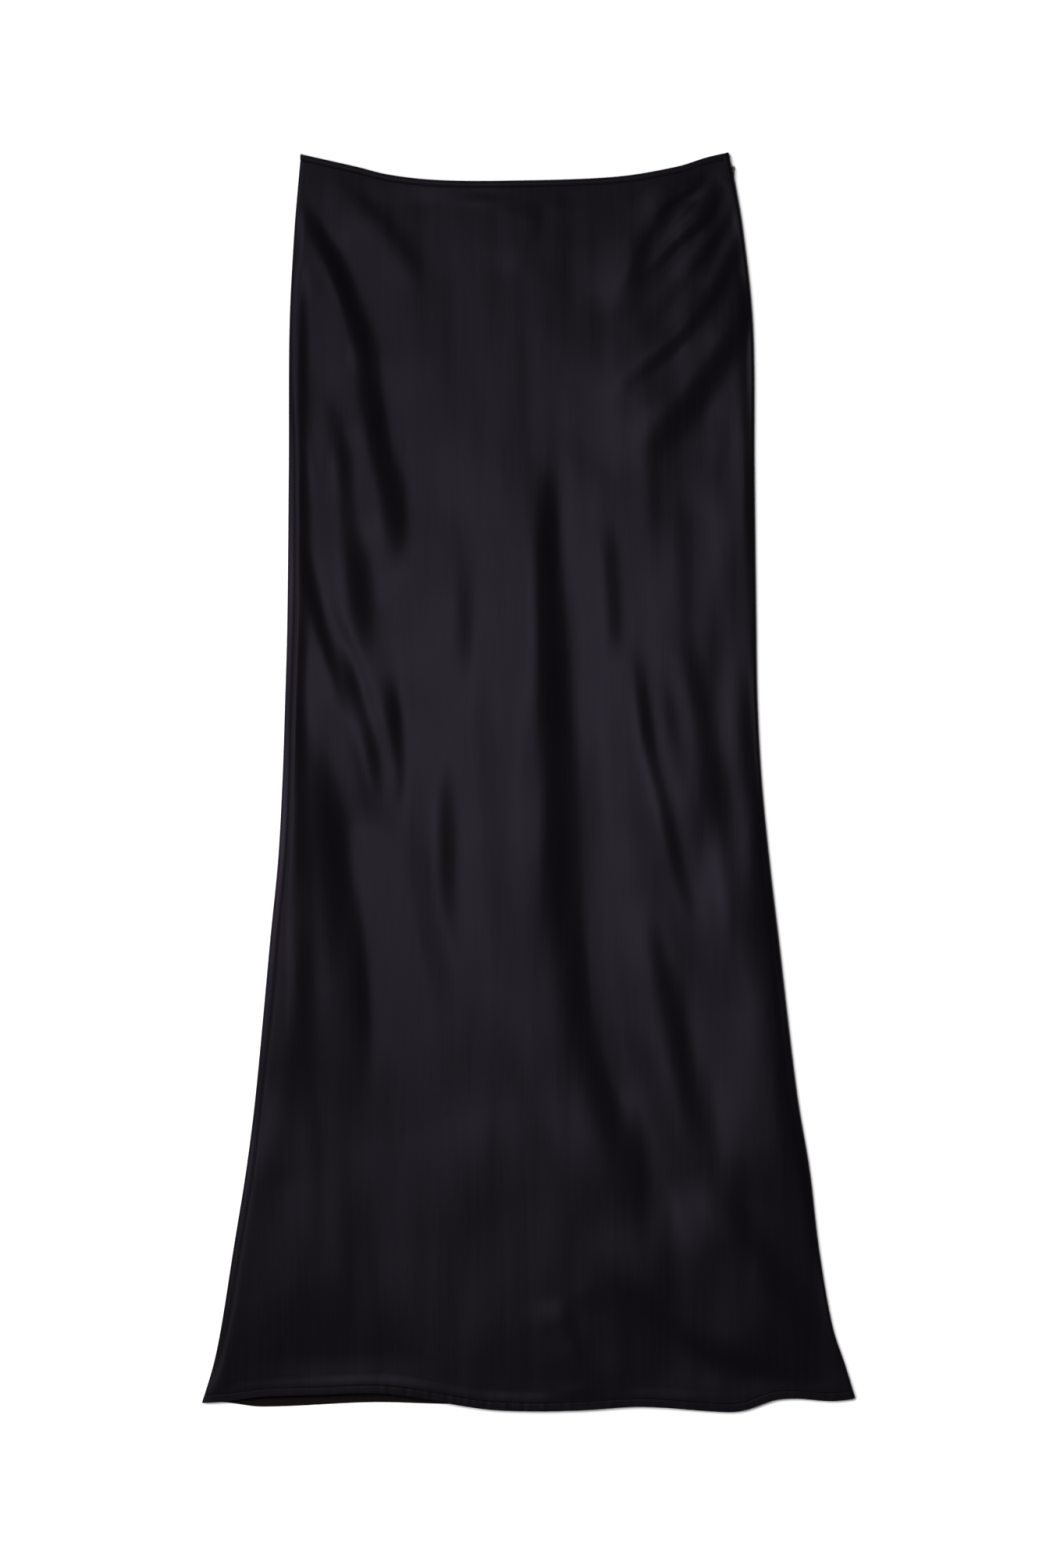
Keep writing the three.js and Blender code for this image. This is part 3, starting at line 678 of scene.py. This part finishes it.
def satin(name, colour, bright, roughness, sheen, slub):
    """Satin: fine warp lines and slubs along the length, a little uneven in colour and gloss. Its
    highlight has the yarn's own dark colour and a weak rim; sheen is the highlight's share."""
    m, tree, shader = new_material(name)
    shader.inputs["Specular Tint"].default_value = HIGHLIGHT_RIM
    shader.inputs["Metallic"].default_value = sheen
    uv = add_node(tree, "ShaderNodeUVMap", {"uv_map": "UVMap"})
    warp = noise(tree, stretched(tree, uv, WARP_SCALE), 1.0, 2.0, 0.55)
    slubs = noise(tree, stretched(tree, uv, SLUB_SCALE), 1.0, 3.0, 0.6)
    weft = noise(tree, stretched(tree, uv, WEFT_SCALE), 1.0, 1.0)
    patch = noise(tree, stretched(tree, uv, PATCH_SCALE), 1.0, 2.0)
    shade = warp * 0.3 + slubs * 0.45 + patch * 0.25
    mix = add_node(tree, "ShaderNodeMapRange", Value=shade, From_Min=0.32, From_Max=0.68)
    feed(tree, shader.inputs["Base Color"], blend(tree, mix, (*colour, 1), (*bright, 1)))
    feed(tree, shader.inputs["Roughness"], roughness - 0.03 + slubs * 0.06)
    height = warp * 0.35 + slubs * slub + weft * 0.12
    bump = add_node(tree, "ShaderNodeBump", Strength=0.35, Distance=THREAD_DEPTH * MM, Height=height)
    feed(tree, shader.inputs["Normal"], bump)
    shader.inputs["Specular IOR Level"].default_value = 0.0
    return m


OBJECT_PLACE = 3  # the texture coordinate node's output
GRAIN_SCALE = 900.0


def plain(name, colour, roughness, metallic, specular, grain):
    """Moulded nylon, enamel or thread: one colour with a fine grain in gloss and bump."""
    m, tree, shader = new_material(name)
    place = add_node(tree, "ShaderNodeTexCoord", out=OBJECT_PLACE)
    speck = noise(tree, place, GRAIN_SCALE, 3.0)
    light = tuple(1.35 * c for c in colour)
    feed(tree, shader.inputs["Base Color"], blend(tree, speck, (*colour, 1), (*light, 1)))
    feed(tree, shader.inputs["Roughness"], roughness - 0.05 + speck * 0.1)
    bump = add_node(tree, "ShaderNodeBump", Strength=0.3, Distance=grain * MM, Height=speck)
    feed(tree, shader.inputs["Normal"], bump)
    shader.inputs["Metallic"].default_value = metallic
    shader.inputs["Specular IOR Level"].default_value = specular
    return m


SATIN = satin(
    "black satin face",
    colour=(0.0051, 0.0043, 0.0062),
    bright=(0.0067, 0.0057, 0.0081),
    roughness=0.40,
    sheen=0.52,
    slub=0.6,
)
WRONG_SIDE = satin(
    "black satin wrong side",
    colour=(0.0046, 0.0036, 0.0033),
    bright=(0.0064, 0.0050, 0.0045),
    roughness=0.62,
    sheen=0.3,
    slub=0.3,
)
THREAD = plain(
    "black thread", (0.0035, 0.003, 0.0042), roughness=0.62, metallic=0.0, specular=0.03, grain=0.03
)
NYLON = plain(
    "black nylon tape", (0.012, 0.0115, 0.0125), roughness=0.62, metallic=0.0, specular=0.2, grain=0.05
)
ENAMEL = plain(
    "black enamel", (0.012, 0.012, 0.0125), roughness=0.32, metallic=0.35, specular=0.45, grain=0.01
)


# ---------------------------------------------------------------- the skirt's pieces

OUTER = HALF_WALL  # the satin's faces, out from the middle surface
INNER = HALF_WALL - CLOTH
NEAR_WAIST, NEAR_HEM = 30, 36  # the stretches whose rows lie closer together


def panel_grid(side, c, bands):
    """A panel's points and uv between its waist band and its hem band. bands are the numbers of rows
    near the waist, over the middle and near the hem."""
    across = (c + 1) / 2
    top = waist_down(across) + BAND_WIDTH - PANEL_LAP["band"]
    hem = hem_down(side, across) - HEM_WIDTH + PANEL_LAP["hem"]
    upper = np.linspace(0, 1, bands[0] + 1)[:-1, None] * NEAR_WAIST + top
    middle = np.linspace(0, 1, bands[1] + 1)[:-1, None]
    middle = top + NEAR_WAIST + middle * (hem - NEAR_HEM - top - NEAR_WAIST)
    lower = hem - NEAR_HEM + np.linspace(0, 1, bands[2] + 1)[:, None] * NEAR_HEM
    down = np.concatenate([upper, middle, lower])
    p = cloth(side, c[None, :], down)
    return p, np.stack([p[..., 0], down], -1)


def make_panel(side, middle, roll, bands):
    """A panel: a shell on its grid, with `middle` and `roll` steps round and `bands` rows down."""
    p, uv = panel_grid(side, girth(middle, roll), bands)
    o = shell(side + "_panel_satin", side, p, uv, OUTER, INNER, [SATIN, WRONG_SIDE])
    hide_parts(side + "_panel")
    return o


GROOVE_HALF = 0.36  # of a stitched groove's width


def band_profile(half_thick, width, bulge, groove):
    """A flattened band's section, once round: (how far down its width, how far out). It starts at the
    outer face's upper end, with its points closest about the stitched groove. The outer face swells
    by bulge * sin(pi t)^0.7, and the groove is groove * exp(-(distance / GROOVE_HALF)^2) deep."""
    t = np.concatenate([np.linspace(0, 0.3, 13), np.linspace(0.36, 1, 10)])
    outer = half_thick + bulge * np.sin(math.pi * t) ** 0.7
    outer = outer - groove * np.exp(-(((t * width - STITCH_INSET) / GROOVE_HALF) ** 2))
    turn = np.linspace(math.pi / 2, -math.pi / 2, 7)[1:-1]
    fold = [(width - half_thick * (1 - math.cos(a)) * 0.9, half_thick * math.sin(a)) for a in turn]
    back = [(width * s, -half_thick) for s in np.linspace(0.94, 0, 6)]
    points = [(width * s, h) for s, h in zip(t, outer)]
    points[-1] = (width - 0.15 * half_thick, half_thick)
    return np.array(points + fold + back)


def band(name, side, c, down_at, profile, lift, material, turned=False):
    """A narrow band that follows a panel's edge. down_at gives the level for each girth coordinate and
    distance down the band; turned puts the fold at the top, as on a waist."""
    width = profile[:, 0].max()
    s = width - profile[:, 0] if turned else profile[:, 0]
    down = down_at(c)[:, None] + s[None, :]
    p = cloth(side, np.repeat(c[:, None], len(s), 1), down)
    flat = np.linspace(0, width, 3)[None, :] + down_at(c)[:, None]
    n = normals(cloth(side, np.repeat(c[:, None], 3, 1), flat).transpose(1, 0, 2), side)[1][:, None, :]
    verts = p + n * (profile[None, :, 1:] + lift)
    uv = np.stack([p[..., 0], down], -1)
    return recalculated(strip(name, verts, uv, material))


def unit(v):
    """Vectors of length one."""
    return v / np.linalg.norm(v, axis=-1, keepdims=True)


# A short rod's rings: where each lies along it, its share of the thickness, and of the ends' dip.
ROD_RINGS = (
    ("at", "fat", "dip"),
    (-0.5, 0.35, 1),
    (-0.38, 0.85, 0.2),
    (0, 1, 0),
    (0.38, 0.85, 0.2),
    (0.5, 0.35, 1),
)
ROD_SIDES = 6


def spindles(name, centre, along_, up, length, thick, dip, material):
    """Many short six-sided rods of the same size, one at each centre: each bulges in its middle and
    dips by `dip` at its ends."""
    side = np.cross(up, along_)
    ring = np.linspace(0, 2 * math.pi, ROD_SIDES, endpoint=False)
    shape = columns(ROD_RINGS)
    runs, fat, dive = shape["at"] * length, shape["fat"] * thick / 2, -dip * shape["dip"]
    spine = centre[:, None] + along_[:, None] * runs[None, :, None] + up[:, None] * dive[None, :, None]
    spokes = side[:, None] * np.cos(ring)[None, :, None] + up[:, None] * np.sin(ring)[None, :, None]
    verts = spine[:, :, None] + spokes[:, None] * fat[None, :, None, None]
    one = tube_faces(len(runs), ROD_SIDES)
    size = len(runs) * ROD_SIDES
    faces = [tuple(v + size * i for v in f) for i in range(len(centre)) for f in one]
    flat = verts.reshape(-1, 3)
    return recalculated(mesh_object(name, flat, faces, flat[:, :2], [material]))


STITCH_DIP = 0.28  # of a stitch's ends into the cloth
STITCH_PROBE = {"round": 1e-3, "down": 0.4}  # small steps that find the cloth's directions


def stitches(name, side, c, down_at, length, thick, out):
    """A row of short threads on the cloth, one at each girth coordinate, whose ends dive into it. Each
    lies along the row, `out` from the middle surface along the cross product of the row's direction
    and the way down."""
    here = cloth(side, c, down_at(c))
    tangent = unit(cloth(side, c + STITCH_PROBE["round"], down_at(c + STITCH_PROBE["round"])) - here)
    n = np.cross(tangent, cloth(side, c, down_at(c) + STITCH_PROBE["down"]) - here)
    n = unit(n * np.sign(n[:, 2:])) * (1 if side == "front" else -1)
    return spindles(name, here + n * out, tangent, n, length, thick, STITCH_DIP, THREAD)


def at_waist(below):
    """The level this far below the waist edge, for each girth coordinate."""
    return lambda c: waist_down((c + 1) / 2) + below


def at_hem(side, above):
    """The level this far above a hem's edge, for each girth coordinate."""
    return lambda c: hem_down(side, (c + 1) / 2) - above


front = make_panel("front", middle=154, roll=8, bands=(14, 206, 44))
back = make_panel("back", middle=60, roll=6, bands=(6, 90, 20))

fine, coarse = girth(420, 8), girth(160, 8)
waist_profile = band_profile(half_thick=0.55, width=BAND_WIDTH, bulge=0.16, groove=0.22)
hem_profile = band_profile(half_thick=0.5, width=HEM_WIDTH, bulge=0.07, groove=0.34)
back_hem_profile = band_profile(half_thick=0.5, width=HEM_WIDTH, bulge=0.0, groove=0.14)
front_hem_top, back_hem_top = at_hem("front", HEM_WIDTH), at_hem("back", HEM_WIDTH)

front_band = band("front_waist_band", "front", fine, at_waist(0), waist_profile, 0.25, SATIN, turned=True)
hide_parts("front_waist_binding")
back_band = band("back_waist_band", "back", coarse, at_waist(0), waist_profile, 0.0, SATIN, turned=True)
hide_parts("back_waist_binding")
front_hem = band("front_hem", "front", fine, front_hem_top, hem_profile, 0.02, SATIN)
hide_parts("front_hem_turn_up")
back_hem = band("back_hem", "back", fine, back_hem_top, back_hem_profile, -0.02, WRONG_SIDE)
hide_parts("back_hem_turn_up")

# The strip beside the zip: its span round the girth and down from the waist, how high it lies on the
# panel, how much higher on the band, and where it comes down between them.
FLAP = {
    "from": 0.958,
    "to": 0.99,
    "top": 0.5,
    "long": 13.4,
    "on_panel": 0.53,
    "step": 0.46,
    "ends": (3.9, 6.2),
}


def corner_fold():
    """The turned end of the seam allowance beside the zip: a short strip that lies over the waist band
    and steps down from it onto the panel."""
    from_waist = np.linspace(FLAP["top"], FLAP["long"], 26)[:, None]
    c = np.linspace(FLAP["from"], FLAP["to"], 12)[None, :]
    down = waist_down((c + 1) / 2) + from_waist
    p = cloth("front", c, down)
    step = FLAP["on_panel"] + FLAP["step"] * within(FLAP["ends"], from_waist)[..., None]
    p = p + normals(p, "front") * step
    uv = np.stack([p[..., 0], down], -1)
    return shell("zip_top_fold", "front", p, uv, CLOTH, 0.0, [SATIN, WRONG_SIDE])


# Rows of stitches: which cloth, from where to where round the girth, how many, the level that they
# follow, and each one's length, thickness and distance out from the middle surface.
STITCH_ROWS = (
    ("name", "side", "span", "count", "level", "long", "thick", "out"),
    ("front_hem", "front", (-0.965, 0.965), 188, at_hem("front", HEM_WIDTH - STITCH_INSET), 2.1, 0.26, 0.36),
    ("front_hem_second", "front", (-0.965, -0.3), 60, at_hem("front", 9.4), 2.3, 0.24, 0.46),
    ("back_hem", "back", (-0.965, 0.965), 188, at_hem("back", HEM_WIDTH - STITCH_INSET), 2.1, 0.24, 0.38),
    ("front_waist", "front", (-0.965, 0.952), 132, at_waist(BAND_WIDTH - STITCH_INSET), 1.9, 0.24, 0.72),
)
sewing = []
for row in rows(STITCH_ROWS):
    places = np.linspace(*row["span"], row["count"])
    size = (row["long"], row["thick"], row["out"])
    sewing.append(stitches(row["name"] + "_stitches", row["side"], places, row["level"], *size))
fold_at_zip = corner_fold()

cloth_pieces = [front, back, front_band, back_band, front_hem, back_hem, fold_at_zip, *sewing]
for piece in cloth_pieces:
    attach(piece, "skirt")


# The zip lies inside the right seam: a tape under each panel, a closed coil between them, and a
# slider whose bridge comes out through the seam with the pull tab hanging from it.
TAPE = {"near": 5.6, "wide": 8.0, "thick": 0.5, "under": 0.1, "above": 4, "spare": 8}
COIL = {"near": 2.7, "wide": 2.5, "pitch": 1.15, "thick": 0.95, "start": 5.2, "shift": 0.18, "dip": 0.2}
HEAD = {"near": 2.5, "far": 4.8, "half": 3.4, "high": 1.9, "taper": 0.3}
NECK = {"in": 2.8, "out": 0.6, "long": 3.0, "thick": 0.7}  # through the seam, from the edge
ARCH = {"foot": 0.4, "reach": 1.8, "half": 1.85, "wide": 0.9, "thick": 0.6}
FOOT = {"deep": 0.5, "wide": 0.8}
PIN = (166.44, 498.07, 3.3)  # the pull tab's hinge
PLATE = {"start": 2.7, "end": 15.0, "neck": 1.3, "half": 2.0, "thick": 0.8, "edge": 0.2}
# The plate's eased edges: the share of its thickness from its middle, and of `edge` drawn in there.
PLATE_EASE = ((-0.5, 1), (-0.36, 0.3), (-0.22, 0), (0.22, 0), (0.36, 0.3), (0.5, 1))
ARM = {"apart": 1.08, "thick": 0.66}
ARM_SECTIONS = ((-0.55, 0.5), (-0.3, 0.85), (2.6, 0.85), (3.1, 0.6))  # (from the pin, how wide)
ROD = {"half": 1.35, "thick": 0.62}


def zip_tape(side):
    """A strip of tape under a panel, as wide as TAPE says, that follows the panel's inner face."""
    down = np.linspace(ZIP_TOP - TAPE["above"], ZIP_TOP + ZIP_LENGTH + TAPE["spare"], 90)[:, None]
    wide = right_edge(down) - left_edge(down) - 2 * EDGE_ROLL
    inset = TAPE["near"] + np.linspace(TAPE["wide"], 0, 7)[None, :]
    c = (1 - ROLL_SHARE) * (1 - 2 * (inset - EDGE_ROLL) / wide)
    p = cloth(side, c, down)
    outer = INNER - TAPE["under"]
    name = "zip_tape_" + side
    o = shell(name + "_woven", side, p, p[..., :2], outer, outer - TAPE["thick"], [NYLON, NYLON])
    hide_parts(name)
    return o


def seam_place(down, inset):
    """Points at the seam's height, `inset` in from the right edge."""
    x = right_edge(down) - inset + SHIFT[0]
    return np.stack([x, LENGTH / 2 - down + SHIFT[1], SEAM_HEIGHT + 0 * down], -1)


def zip_coil():
    """The closed coil: one small rod across for each tooth, every other one a little further in."""
    down = np.arange(ZIP_TOP + COIL["start"], ZIP_TOP + ZIP_LENGTH, COIL["pitch"])
    shift = COIL["shift"] * (np.arange(len(down)) % 2)
    centre = seam_place(down, COIL["near"] + COIL["wide"] / 2 + shift)
    across = np.tile([1.0, 0.0, 0.0], (len(down), 1))
    up = np.tile([0.0, 0.0, 1.0], (len(down), 1))
    o = spindles("zip_coil", centre, across, up, COIL["wide"], COIL["thick"], COIL["dip"], NYLON)
    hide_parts("zip_chain")
    return o


ROUND, SQUARISH = 1.0, 0.6  # a ring's power: an ellipse, and a rounded rectangle
RING_POINTS = 12


def ring_loop(centre, u, v, wide, high, power=SQUARISH):
    """A superellipse's points round a centre, wide along u and high along v: the sine and the cosine
    of the angle, each to this power."""
    a = np.linspace(0, 2 * math.pi, RING_POINTS, endpoint=False)
    x = np.sign(np.cos(a)) * np.abs(np.cos(a)) ** power * wide / 2
    y = np.sign(np.sin(a)) * np.abs(np.sin(a)) ** power * high / 2
    return centre + np.asarray(u)[None] * x[:, None] + np.asarray(v)[None] * y[:, None]


def swept(loops):
    """The vertices and faces of a closed solid through loops of equal count, with flat ends."""
    return np.concatenate(loops), tube_faces(len(loops), len(loops[0]))


def joined(name, solids, material):
    """One object from several solids' vertices and faces."""
    verts, faces, base = [], [], 0
    for v, f in solids:
        verts.append(v)
        faces += [tuple(i + base for i in face) for face in f]
        base += len(v)
    verts = np.concatenate(verts)
    return recalculated(mesh_object(name, verts, faces, verts[:, :2], [material]))


def zip_slider():
    """A rounded slider body inside the seam, a flat neck through it, and an arched bridge outside."""
    edge = float(right_edge(ZIP_TOP)) + SHIFT[0]
    level = LENGTH / 2 - ZIP_TOP + SHIFT[1]
    x, y, z = np.eye(3)

    def at(out, along_):
        """A place out from the seam's edge and along it, at the seam's height."""
        return np.array([edge + out, level + along_, SEAM_HEIGHT])

    body = []
    for s in (-1, -0.93, -0.75, 0, 0.75, 0.93, 1):
        share = 1 - HEAD["taper"] * abs(s) ** 6
        centre = at(-(HEAD["near"] + HEAD["far"]) / 2, s * HEAD["half"])
        body.append(ring_loop(centre, x, z, (HEAD["far"] - HEAD["near"]) * share, HEAD["high"] * share))
    neck = [ring_loop(at(d, 0), y, z, NECK["long"], NECK["thick"]) for d in (-NECK["in"], NECK["out"])]
    arch = []
    for a in np.linspace(-math.pi / 2, math.pi / 2, 17):
        centre = at(ARCH["foot"] + ARCH["reach"] * math.cos(a), ARCH["half"] * math.sin(a))
        out = unit(np.array([math.cos(a) / ARCH["reach"], math.sin(a) / ARCH["half"], 0]))
        arch.append(ring_loop(centre, out, z, ARCH["thick"], ARCH["wide"]))
    ends = (-ARCH["half"], ARCH["half"])
    foot = [ring_loop(at(ARCH["foot"], d), x, z, FOOT["deep"], FOOT["wide"]) for d in ends]
    o = joined("zip_slider_cast", [swept(body), swept(neck), swept(arch), swept(foot)], ENAMEL)
    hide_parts("zip_slider")
    return o


def pull_tab():
    """A flat tab with a round end and eased edges, on two arms and a pin. It points straight towards
    the hem."""
    x, y, z = np.eye(3)
    pin = np.array(PIN)
    turn = np.linspace(-math.pi / 2, math.pi / 2, 17)
    straight = PLATE["end"] - PLATE["half"]
    outline = [(PLATE["start"], -PLATE["neck"])]
    outline += [(straight + PLATE["half"] * math.cos(a), PLATE["half"] * math.sin(a)) for a in turn]
    outline += [(PLATE["start"], PLATE["neck"])]
    outline = np.array(outline)
    centre = outline.mean(axis=0)
    levels = []
    for d, inset in PLATE_EASE:
        away = outline - centre
        shrunk = outline - away / np.linalg.norm(away, axis=1, keepdims=True) * inset * PLATE["edge"]
        flat = pin + x[None] * d * PLATE["thick"] - y[None] * shrunk[:, :1] + z[None] * shrunk[:, 1:]
        levels.append(flat)
    arms = []
    for s in (-1, 1):
        up = pin + z * s * ARM["apart"]
        arms.append(swept([ring_loop(up - y * d, x, z, w, ARM["thick"]) for d, w in ARM_SECTIONS]))
    ends = (-ROD["half"], ROD["half"])
    rod = swept([ring_loop(pin + z * d, x, y, ROD["thick"], ROD["thick"], ROUND) for d in ends])
    o = joined("zip_pull_tab_cast", [swept(levels), *arms, rod], ENAMEL)
    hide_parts("zip_pull_tab")
    return o


zip_pieces = [zip_tape("front"), zip_tape("back"), zip_coil()]
for piece in zip_pieces:
    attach(piece, "skirt")
head = zip_slider()
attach(head, "skirt")
tab = pull_tab()
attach(tab, "pull_tab")
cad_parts["zip_bottom_stop"].data.materials.clear()
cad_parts["zip_bottom_stop"].data.materials.append(ENAMEL)


# ---------------------------------------------------------------- floor, light and camera


FLOOR_HALF = 45.0  # metres


def pale_floor():
    """A flat pale square, a hair below the skirt."""
    m, tree, shader = new_material("pale floor")
    shader.inputs["Base Color"].default_value = (0.93, 0.93, 0.93, 1)
    shader.inputs["Roughness"].default_value = 0.9
    shader.inputs["Specular IOR Level"].default_value = 0.0
    mesh = bpy.data.meshes.new("floor")
    corners = [(x * FLOOR_HALF, y * FLOOR_HALF, 0) for x, y in ((-1, -1), (1, -1), (1, 1), (-1, 1))]
    mesh.from_pydata(corners, [], [(0, 1, 2, 3)])
    mesh.materials.append(m)
    o = bpy.data.objects.new("floor", mesh)
    o.location.z = -0.0001
    bpy.context.scene.collection.objects.link(o)


def sun(name, towards, strength, angle):
    """A distant soft light that comes from the direction `towards`."""
    data = bpy.data.lights.new(name, "SUN")
    data.energy, data.angle = strength, math.radians(angle)
    o = bpy.data.objects.new(name, data)
    x, y, z = towards
    o.rotation_euler = (0.0, math.acos(z / math.sqrt(x * x + y * y + z * z)), math.atan2(y, x))
    bpy.context.scene.collection.objects.link(o)
    return o


def softbox(name, place, target, size, power):
    """A soft rectangular light at a place, turned to its target."""
    data = bpy.data.lights.new(name, "AREA")
    data.shape, data.size, data.size_y, data.energy = "RECTANGLE", size[0], size[1], power
    o = bpy.data.objects.new(name, data)
    o.location = place
    o.rotation_mode = "QUATERNION"
    o.rotation_quaternion = (Vector(target) - Vector(place)).to_track_quat("-Z", "Y")
    bpy.context.scene.collection.objects.link(o)
    return o


pale_floor()
sun("key", towards=(-0.60, 0.24, 0.76), strength=2.9, angle=45)
softbox("overhead", place=(-0.16, 0.06, 1.5), target=(0, 0, 0), size=(0.6, 0.5), power=17.0)

scene = bpy.context.scene
world = bpy.data.worlds.new("studio")
world.use_nodes = True
world.node_tree.nodes["Background"].inputs["Color"].default_value = (1, 1, 1, 1)
world.node_tree.nodes["Background"].inputs["Strength"].default_value = 0.12
scene.world = world
scene.view_settings.view_transform = "Standard"

VIEW_HEIGHT = 1.2747  # metres of the ground that the view takes in
VIEW_CENTRE = (-5.08, -1.59)
LENS, SENSOR = 100, 36
camera_data = bpy.data.cameras.new("overhead camera")
camera_data.lens, camera_data.sensor_width, camera_data.clip_end = LENS, SENSOR, 100
camera = bpy.data.objects.new("overhead camera", camera_data)
camera_x, camera_y = (MM * (v + shift) for v, shift in zip(VIEW_CENTRE, SHIFT))
camera.location = (camera_x, camera_y, VIEW_HEIGHT * LENS / SENSOR)
bpy.context.scene.collection.objects.link(camera)
scene.camera = camera
